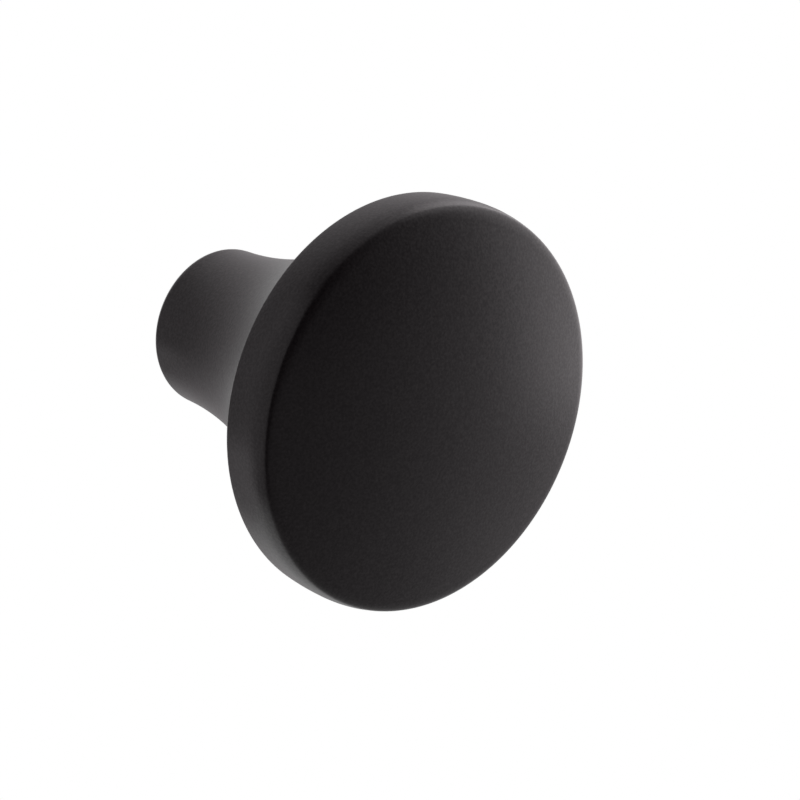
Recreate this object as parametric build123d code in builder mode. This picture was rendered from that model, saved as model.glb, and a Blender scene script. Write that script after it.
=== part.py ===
from build123d import *
import os
from math import radians, tan

# A cabinet knob, turned in one piece: a broad head with a domed face and a slightly barrelled rim,
# carried on a stem that flares out like a trumpet from a small round base. The base is tapped for a
# machine screw. The mounting face lies in the plane y = 0 and the knob stands out from it along -Y.
# All sizes are in millimetres.

# Head: its diameter is taken at the crest of the rim, its face rises from the rim's front corner
head_diameter = 35.0
rim_width = 5.0
rim_bulge = 0.2
face_rise = 2.9
rim_chamfer = 0.15

# Stem, from the mounting face to the flat ledge at the back of the head
stem_length = 23.6
base_diameter = 14.0
base_chamfer = 0.45
ledge_width = 2.0

# Blind screw hole, drilled at the tapping size for an M4 thread
hole_diameter = 3.3
hole_depth = 15.0
hole_mouth_diameter = 4.3
drill_point_angle = 118.0

# Distances from the axis
head_radius = head_diameter / 2
corner_radius = head_radius - rim_bulge
neck_radius = corner_radius - ledge_width
base_radius = base_diameter / 2
hole_radius = hole_diameter / 2
mouth_radius = hole_mouth_diameter / 2

# Distances out from the mounting face
rim_crest = stem_length + rim_width / 2
rim_front = stem_length + rim_width
face_crown = rim_front + face_rise
mouth_depth = mouth_radius - hole_radius
hole_tip = hole_depth + hole_radius / tan(radians(drill_point_angle / 2))

with BuildPart() as knob:
    # Half section of the turned body: x is the radius, -y the distance from the mounting face
    with BuildSketch(Plane.XY) as section:
        with BuildLine():
            base = Line((0, 0), (base_radius, 0))
            flare = TangentArc(base @ 1, (neck_radius, -stem_length), tangent=(0, -1))
            ledge = Line(flare @ 1, (corner_radius, -stem_length))
            rim = ThreePointArc(ledge @ 1, (head_radius, -rim_crest), (corner_radius, -rim_front))
            face = TangentArc((0, -face_crown), rim @ 1, tangent=(1, 0))
            Line(face @ 0, base @ 0)
        make_face()
        for corner, width in ((base @ 1, base_chamfer), (ledge @ 1, rim_chamfer), (rim @ 1, rim_chamfer)):
            chamfer(section.vertices().sort_by_distance(corner)[0], width)
    revolve(axis=Axis.Y)

    # Screw hole with a countersunk mouth and the cone that the drill leaves at its end
    with BuildSketch(Plane.XY):
        with BuildLine():
            Polyline(
                (0, 0),
                (mouth_radius, 0),
                (hole_radius, -mouth_depth),
                (hole_radius, -hole_depth),
                (0, -hole_tip),
                close=True,
            )
        make_face()
    revolve(axis=Axis.Y, mode=Mode.SUBTRACT)

knob.part.label = "knob"
os.makedirs("parts", exist_ok=True)
export_step(knob.part, "parts/knob.step")
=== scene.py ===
from math import cos, pi, radians, sin, tan

import bmesh
import bpy
from mathutils import Matrix, Vector


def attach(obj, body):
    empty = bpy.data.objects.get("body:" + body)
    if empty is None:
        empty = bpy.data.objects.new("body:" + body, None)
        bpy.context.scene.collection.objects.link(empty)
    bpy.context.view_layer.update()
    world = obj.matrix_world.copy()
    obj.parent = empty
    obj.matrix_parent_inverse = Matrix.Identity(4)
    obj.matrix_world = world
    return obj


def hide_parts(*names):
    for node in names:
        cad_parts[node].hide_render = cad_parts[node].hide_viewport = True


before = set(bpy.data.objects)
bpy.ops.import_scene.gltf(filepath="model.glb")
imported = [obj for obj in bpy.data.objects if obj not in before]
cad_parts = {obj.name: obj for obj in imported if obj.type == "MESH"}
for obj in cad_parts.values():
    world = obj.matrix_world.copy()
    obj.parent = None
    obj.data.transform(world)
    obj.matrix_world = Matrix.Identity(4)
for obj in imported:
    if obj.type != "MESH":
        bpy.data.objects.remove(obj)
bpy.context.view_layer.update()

# A round cabinet knob in matte black powder coat. It is held clear of a pale floor, with its head
# towards -Y, among softboxes and in front of a white backdrop. All lengths are in metres.

MM = 0.001

# Sizes of the coated knob. They are the part's own, but for the front of the rim: its crest lies nearer
# the face and its front corner a little farther in and out, all within 0.1 mm of the part's skin.
HEAD_RADIUS = 17.5 * MM
RIM_WIDTH = 5.12 * MM
CREST_FROM_BACK = 3.1 * MM
FRONT_FALL = 0.35 * MM
BACK_FALL = 0.2 * MM
FACE_RISE = 2.78 * MM
STEM_LENGTH = 23.6 * MM
BASE_RADIUS = 7.0 * MM
LEDGE_WIDTH = 2.0 * MM
HOLE_RADIUS = 1.65 * MM
HOLE_DEPTH = 15.0 * MM
HOLE_MOUTH_RADIUS = 2.15 * MM
DRILL_POINT_ANGLE = radians(118)

# Thread in the hole, with its flats as shares of the pitch
THREAD_PITCH = 0.7 * MM
THREAD_DEPTH = 0.38 * MM
THREAD_LENGTH = 13.5 * MM
CREST_FLAT = 1 / 4
ROOT_FLAT = 1 / 8

# How far back from each corner the coated edge begins to round off, farther on the face than on the rim
FACE_EDGE = 0.9 * MM
RIM_EDGE = 0.35 * MM
BACK_EDGE = 0.35 * MM
NECK_EDGE = 0.4 * MM
BASE_EDGE = 0.8 * MM
MOUTH_EDGE = 0.1 * MM

# Distances from the axis and out from the mounting face that follow from the sizes
FRONT_RADIUS = HEAD_RADIUS - FRONT_FALL
BACK_RADIUS = HEAD_RADIUS - BACK_FALL
NECK_RADIUS = BACK_RADIUS - LEDGE_WIDTH
RIM_CREST = STEM_LENGTH + CREST_FROM_BACK
RIM_FRONT = STEM_LENGTH + RIM_WIDTH
FACE_CROWN = RIM_FRONT + FACE_RISE
MOUTH_DEPTH = HOLE_MOUTH_RADIUS - HOLE_RADIUS
HOLE_TIP = HOLE_DEPTH + HOLE_RADIUS / tan(DRILL_POINT_ANGLE / 2)

# Fineness of the mesh. A step of the face, the rim or the flare is longer than the rounding it ends in.
SEGMENTS = 192
FACE_STEPS = 18
RIM_STEPS = 4
FLARE_STEPS = 28
EDGE_STEPS = 8
RINGS_PER_TURN = 7

# Materials in the order that the knob's mesh has them
COAT_INDEX = 0
ZINC_INDEX = 1

# Powder coat
PIT_BLACK = (0.0105, 0.0074, 0.0089, 1)
TIP_BLACK = (0.0165, 0.0126, 0.0141, 1)
GRAIN_SCALE = 4400
PEEL_SCALE = 1100
COAT_RELIEF = 0.007 * MM
COAT_ROUGHNESS = 0.28
GRAIN_ROUGHNESS = 0.1
TIP_GLOSS = 0.32

# Bare metal of the thread
ZINC_GREY = (0.55, 0.55, 0.57, 1)
SCRATCH_SCALE = 9000
ZINC_ROUGHNESS = 0.25
SCRATCH_ROUGHNESS = 0.25

# Floor: its place, its paint, and how much white a camera or a gloss sees over the paint
FLOOR_LEVEL = -0.36
FLOOR_RADIUS = 0.4
FLOOR_SEGMENTS = 96
FLOOR_GREY = (0.55, 0.55, 0.55, 1)
FLOOR_BACK_SIDE = (0, 1, 0)
FLOOR_FADE = (-0.3, 0.4)
SEEN_WHITE = 0.6
MIRRORED_WHITE = 0.85

# Room: it is palest towards one side and has a white sheet towards another. Each fades in between two
# cosines of the angle to its side. The light of the room and the softboxes is a little rosy.
STUDIO_TINT = (1, 0.945, 0.97)
DARK_STRENGTH = 0.016
PALE_STRENGTH = 0.565
PALE_SIDE = (0.855, 0.513, 0.07)
PALE_FADE = (-0.47, 0.9)
SHEET_SIDE = (0.352, 0.923, -0.158)
SHEET_FADE = (0.94, 0.98)

# Camera: its direction and distance from the middle of the mounting face, its shift aside from there,
# and its lens and sensor in millimetres
CAMERA_AZIMUTH = radians(-40.298)
CAMERA_ELEVATION = radians(19.988)
CAMERA_DISTANCE = 0.3195
CAMERA_RIGHT = 0.016044
CAMERA_DOWN = 0.006542
FOCAL_LENGTH = 164.2
SENSOR_WIDTH = 36


def arch_radius(half_width, rise):
    """Radius of the circle whose arc is twice half_width across and rises this high."""
    return (half_width**2 + rise**2) / (2 * rise)


def arc(centre, start, end, steps):
    """Points along a circle about centre, from start to end."""
    spoke = start - centre
    turn = spoke.angle_signed(end - centre)
    return [centre + Matrix.Rotation(-turn * step / steps, 2) @ spoke for step in range(steps + 1)]


def rounded(before, corner, after, lead, follow):
    """A corner as the coat covers it: a small smooth curve instead of a point."""
    start = corner + (before - corner).normalized() * lead
    end = corner + (after - corner).normalized() * follow
    steps = [step / EDGE_STEPS for step in range(EDGE_STEPS + 1)]
    return [start * (1 - t) ** 2 + corner * (2 * t * (1 - t)) + end * t**2 for t in steps]


def turned_section():
    """The outside from the crown of the face to the mouth of the hole, as (radius, depth) points."""
    crown = Vector((0, FACE_CROWN))
    front_corner = Vector((FRONT_RADIUS, RIM_FRONT))
    crest = Vector((HEAD_RADIUS, RIM_CREST))
    back_corner = Vector((BACK_RADIUS, STEM_LENGTH))
    neck = Vector((NECK_RADIUS, STEM_LENGTH))
    base = Vector((BASE_RADIUS, 0))
    mouth = Vector((HOLE_MOUTH_RADIUS, 0))
    bore = Vector((HOLE_RADIUS, MOUTH_DEPTH))

    dome_centre = crown - Vector((0, arch_radius(FRONT_RADIUS, FACE_RISE)))
    front_centre = crest - Vector((arch_radius(RIM_FRONT - RIM_CREST, FRONT_FALL), 0))
    back_centre = crest - Vector((arch_radius(CREST_FROM_BACK, BACK_FALL), 0))
    flare_centre = base + Vector((arch_radius(STEM_LENGTH, NECK_RADIUS - BASE_RADIUS), 0))

    face = arc(dome_centre, crown, front_corner, FACE_STEPS)
    rim_front = arc(front_centre, front_corner, crest, RIM_STEPS)
    rim_back = arc(back_centre, crest, back_corner, RIM_STEPS)
    flare = arc(flare_centre, neck, base, FLARE_STEPS)

    return [
        *face[:-1],
        *rounded(face[-2], front_corner, rim_front[1], FACE_EDGE, RIM_EDGE),
        *rim_front[1:],
        *rim_back[1:-1],
        *rounded(rim_back[-2], back_corner, neck, BACK_EDGE, BACK_EDGE),
        *rounded(back_corner, neck, flare[1], NECK_EDGE, NECK_EDGE),
        *flare[1:-1],
        *rounded(flare[-2], base, mouth, BASE_EDGE, BASE_EDGE),
        *rounded(base, mouth, bore, MOUTH_EDGE, MOUTH_EDGE),
    ]


def thread_cut(turns):
    """How far the thread is cut, from 0 at its crest to 1 at its root, by turns along the hole."""
    from_crest = 0.5 - abs(turns % 1 - 0.5)
    flank_start = CREST_FLAT / 2
    flank_end = 0.5 - ROOT_FLAT / 2
    return min(max((from_crest - flank_start) / (flank_end - flank_start), 0), 1)


def thread_fade(depth):
    """The thread runs in over its first turn and runs out over its last."""
    run_in = (depth - MOUTH_DEPTH) / THREAD_PITCH
    run_out = (THREAD_LENGTH - depth) / THREAD_PITCH
    return min(max(min(run_in, run_out), 0), 1)


def ring(bm, radius, depth, groove=0):
    """One ring of the turned mesh. A groove winds round it as a right-hand thread."""
    points = []
    for segment in range(SEGMENTS):
        turn = segment / SEGMENTS
        reach = radius + groove * thread_cut(depth / THREAD_PITCH - turn)
        points.append(bm.verts.new((reach * cos(2 * pi * turn), -depth, reach * sin(2 * pi * turn))))
    return points


def bridge(bm, first, second, material):
    """Faces between two rings, or between a ring and a point."""
    for segment in range(SEGMENTS):
        following = (segment + 1) % SEGMENTS
        corners = [first[segment], first[following]] if len(first) > 1 else list(first)
        corners += [second[following], second[segment]] if len(second) > 1 else list(second)
        bm.faces.new(corners).material_index = material


def turned_knob():
    """The whole knob in one skin: coated outside, with a bare thread in its hole."""
    bm = bmesh.new()
    outside = turned_section()
    bore_steps = round((HOLE_DEPTH - MOUTH_DEPTH) / THREAD_PITCH * RINGS_PER_TURN)
    bore_step = (HOLE_DEPTH - MOUTH_DEPTH) / bore_steps

    rings = [[bm.verts.new((0, -FACE_CROWN, 0))]]
    rings += [ring(bm, radius, depth) for radius, depth in outside[1:]]
    coated = len(rings)
    for step in range(bore_steps + 1):
        depth = MOUTH_DEPTH + step * bore_step
        rings.append(ring(bm, HOLE_RADIUS, depth, THREAD_DEPTH * thread_fade(depth)))
    rings.append([bm.verts.new((0, -HOLE_TIP, 0))])

    for index in range(len(rings) - 1):
        material = COAT_INDEX if index < coated else ZINC_INDEX
        bridge(bm, rings[index], rings[index + 1], material)
    bmesh.ops.recalc_face_normals(bm, faces=bm.faces)
    for face in bm.faces:
        face.smooth = True

    mesh = bpy.data.meshes.new("turned_knob")
    bm.to_mesh(mesh)
    bm.free()
    mesh.materials.append(black_coat())
    mesh.materials.append(bare_zinc())
    knob = bpy.data.objects.new("turned_knob", mesh)
    bpy.context.scene.collection.objects.link(knob)
    return knob


class Socket:
    """A socket of a node tree. Sums and products of sockets add Math nodes to the tree."""

    def __init__(self, tree, output=None):
        self.tree = tree
        self.output = output

    def node(self, kind, settings, sockets, output=0):
        """Add a node: its settings first, then the values or links of its sockets."""
        node = self.tree.nodes.new(kind)
        for name, value in settings.items():
            setattr(node, name, value)
        for name, value in sockets.items():
            if isinstance(value, Socket):
                self.tree.links.new(value.output, node.inputs[name])
            else:
                node.inputs[name].default_value = value
        return Socket(self.tree, node.outputs[output] if node.outputs else None)

    def math(self, operation, first, second):
        return self.node("ShaderNodeMath", {"operation": operation}, {0: first, 1: second})

    def __add__(self, other):
        return self.math("ADD", self, other)

    def __radd__(self, other):
        return self.math("ADD", other, self)

    def __mul__(self, other):
        return self.math("MULTIPLY", self, other)

    def __rmul__(self, other):
        return self.math("MULTIPLY", other, self)


def empty_tree(owner):
    """A node tree with nothing in it yet, for a material or the world."""
    owner.use_nodes = True
    owner.node_tree.nodes.clear()
    return Socket(owner.node_tree)


def black_coat():
    """Matte black powder coat: a fine even grain, glossier at its tips, over a faint orange peel."""
    material = bpy.data.materials.new("black_coat")
    tree = empty_tree(material)
    place = tree.node("ShaderNodeTexCoord", {}, {}, "Object")
    grain = tree.node("ShaderNodeTexNoise", {}, {"Vector": place, "Scale": GRAIN_SCALE, "Detail": 1})
    peel = tree.node("ShaderNodeTexNoise", {}, {"Vector": place, "Scale": PEEL_SCALE, "Detail": 1})
    tips = tree.node("ShaderNodeMapRange", {}, {"Value": grain, "From Min": 0.35, "From Max": 0.8})
    colour = tree.node(
        "ShaderNodeMix",
        {"data_type": "RGBA"},
        {"Factor": tips, "A": PIT_BLACK, "B": TIP_BLACK},
        "Result",
    )
    relief = tree.node(
        "ShaderNodeBump",
        {},
        {"Height": grain + peel, "Strength": 1, "Distance": COAT_RELIEF},
    )
    shader = tree.node(
        "ShaderNodeBsdfPrincipled",
        {},
        {
            "Base Color": colour,
            "Roughness": COAT_ROUGHNESS + GRAIN_ROUGHNESS * grain,
            "IOR": 1.47,
            "Coat Weight": TIP_GLOSS * tips,
            "Coat Roughness": 0.33,
            "Normal": relief,
        },
    )
    tree.node("ShaderNodeOutputMaterial", {}, {"Surface": shader})
    return material


def bare_zinc():
    """Zinc alloy in the tapped hole, bright from the tap."""
    material = bpy.data.materials.new("bare_zinc")
    tree = empty_tree(material)
    place = tree.node("ShaderNodeTexCoord", {}, {}, "Object")
    scratches = tree.node("ShaderNodeTexNoise", {}, {"Vector": place, "Scale": SCRATCH_SCALE, "Detail": 3})
    roughness = ZINC_ROUGHNESS + SCRATCH_ROUGHNESS * scratches
    shader = tree.node(
        "ShaderNodeBsdfPrincipled",
        {},
        {"Base Color": ZINC_GREY, "Metallic": 1, "Roughness": roughness},
    )
    tree.node("ShaderNodeOutputMaterial", {}, {"Surface": shader})
    return material


def ray_kinds(tree):
    """1 for rays from the camera, and 1 for those that a gloss or a glass sends on."""
    camera = tree.node("ShaderNodeLightPath", {}, {}, "Is Camera Ray")
    gloss = tree.node("ShaderNodeLightPath", {}, {}, "Is Glossy Ray")
    glass = tree.node("ShaderNodeLightPath", {}, {}, "Is Transmission Ray")
    return camera, gloss + glass


def toward(tree, place, side, start, end):
    """A smooth rise from 0 to 1 towards a side, between two distances or cosines along it."""
    along = tree.node("ShaderNodeVectorMath", {"operation": "DOT_PRODUCT"}, {0: place, 1: side}, "Value")
    return tree.node(
        "ShaderNodeMapRange",
        {"interpolation_type": "SMOOTHSTEP"},
        {"Value": along, "From Min": start, "From Max": end},
    )


def floor_paint():
    """Pale matt paint. A camera sees it lighter than it is, and so does a gloss towards the backdrop."""
    material = bpy.data.materials.new("floor_paint")
    tree = empty_tree(material)
    camera, mirrored = ray_kinds(tree)
    place = tree.node("ShaderNodeTexCoord", {}, {}, "Object")
    backness = toward(tree, place, FLOOR_BACK_SIDE, *FLOOR_FADE)
    lift = SEEN_WHITE * camera + MIRRORED_WHITE * backness * mirrored
    paint = tree.node("ShaderNodeBsdfDiffuse", {}, {"Color": FLOOR_GREY})
    white = tree.node("ShaderNodeEmission", {}, {"Strength": 1})
    shader = tree.node("ShaderNodeMixShader", {}, {0: lift, 1: paint, 2: white})
    tree.node("ShaderNodeOutputMaterial", {}, {"Surface": shader})
    return material


def pale_floor():
    """A round floor, well below the knob."""
    bm = bmesh.new()
    bmesh.ops.create_circle(bm, cap_ends=True, segments=FLOOR_SEGMENTS, radius=FLOOR_RADIUS)
    mesh = bpy.data.meshes.new("pale_floor")
    bm.to_mesh(mesh)
    bm.free()
    mesh.materials.append(floor_paint())
    floor = bpy.data.objects.new("pale_floor", mesh)
    floor.location.z = FLOOR_LEVEL
    bpy.context.scene.collection.objects.link(floor)
    return floor


def studio_surround():
    """A room, dark in front of the knob and pale to its right, with a white sheet behind it.

    A camera sees only white.
    """
    world = bpy.data.worlds.new("studio_surround")
    tree = empty_tree(world)
    camera, mirrored = ray_kinds(tree)
    dark = tree.node("ShaderNodeBackground", {}, {"Color": (*STUDIO_TINT, 1), "Strength": DARK_STRENGTH})
    pale = tree.node("ShaderNodeBackground", {}, {"Color": (*STUDIO_TINT, 1), "Strength": PALE_STRENGTH})
    white = tree.node("ShaderNodeBackground", {}, {"Color": (1, 1, 1, 1), "Strength": 1})
    direction = tree.node("ShaderNodeTexCoord", {}, {}, "Generated")
    paleness = toward(tree, direction, PALE_SIDE, *PALE_FADE)
    sheet = toward(tree, direction, SHEET_SIDE, *SHEET_FADE)
    room = tree.node("ShaderNodeMixShader", {}, {0: paleness, 1: dark, 2: pale})
    shader = tree.node("ShaderNodeMixShader", {}, {0: camera + mirrored * sheet, 1: room, 2: white})
    tree.node("ShaderNodeOutputWorld", {}, {"Surface": shader})
    bpy.context.scene.world = world


def softbox(name, place, width, height, brightness):
    """An upright softbox that faces the knob. Its brightness is that of its white cloth."""
    light = bpy.data.lights.new(name, "AREA")
    light.shape = "RECTANGLE"
    light.size = width
    light.size_y = height
    light.color = STUDIO_TINT
    light.energy = brightness * pi * width * height
    lamp = bpy.data.objects.new(name, light)
    lamp.location = place
    lamp.rotation_euler = Vector(place).to_track_quat("Z", "Y").to_euler()
    lamp.visible_camera = False
    bpy.context.scene.collection.objects.link(lamp)


def photo_camera():
    """A long lens, a little above the knob and to the left of its head."""
    level = cos(CAMERA_ELEVATION)
    back = Vector((sin(CAMERA_AZIMUTH) * level, -cos(CAMERA_AZIMUTH) * level, sin(CAMERA_ELEVATION)))
    right = Vector((cos(CAMERA_AZIMUTH), sin(CAMERA_AZIMUTH), 0))
    up = back.cross(right)
    place = back * CAMERA_DISTANCE + right * CAMERA_RIGHT - up * CAMERA_DOWN
    lens = bpy.data.cameras.new("photo_camera")
    lens.sensor_width = SENSOR_WIDTH
    lens.lens = FOCAL_LENGTH
    lens.clip_start = 0.01
    camera = bpy.data.objects.new("photo_camera", lens)
    camera.matrix_world = Matrix.Translation(place) @ Matrix((right, up, back)).transposed().to_4x4()
    bpy.context.scene.collection.objects.link(camera)
    bpy.context.scene.camera = camera


knob = turned_knob()
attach(knob, "root")
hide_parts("knob")

pale_floor()
photo_camera()
studio_surround()
softbox("right_softbox", place=(0.577, -0.006, 0.163), width=0.9, height=0.97, brightness=0.88)
softbox("left_softbox", place=(-0.483, 0.09, 0.09), width=1.0, height=0.946, brightness=0.41)
softbox("front_softbox", place=(0.115, -0.495, -0.406), width=1.091, height=1.034, brightness=0.177)
softbox("low_softbox", place=(-0.315, 0.407, -0.308), width=0.212, height=0.251, brightness=0.6)
bpy.context.scene.view_settings.view_transform = "Standard"
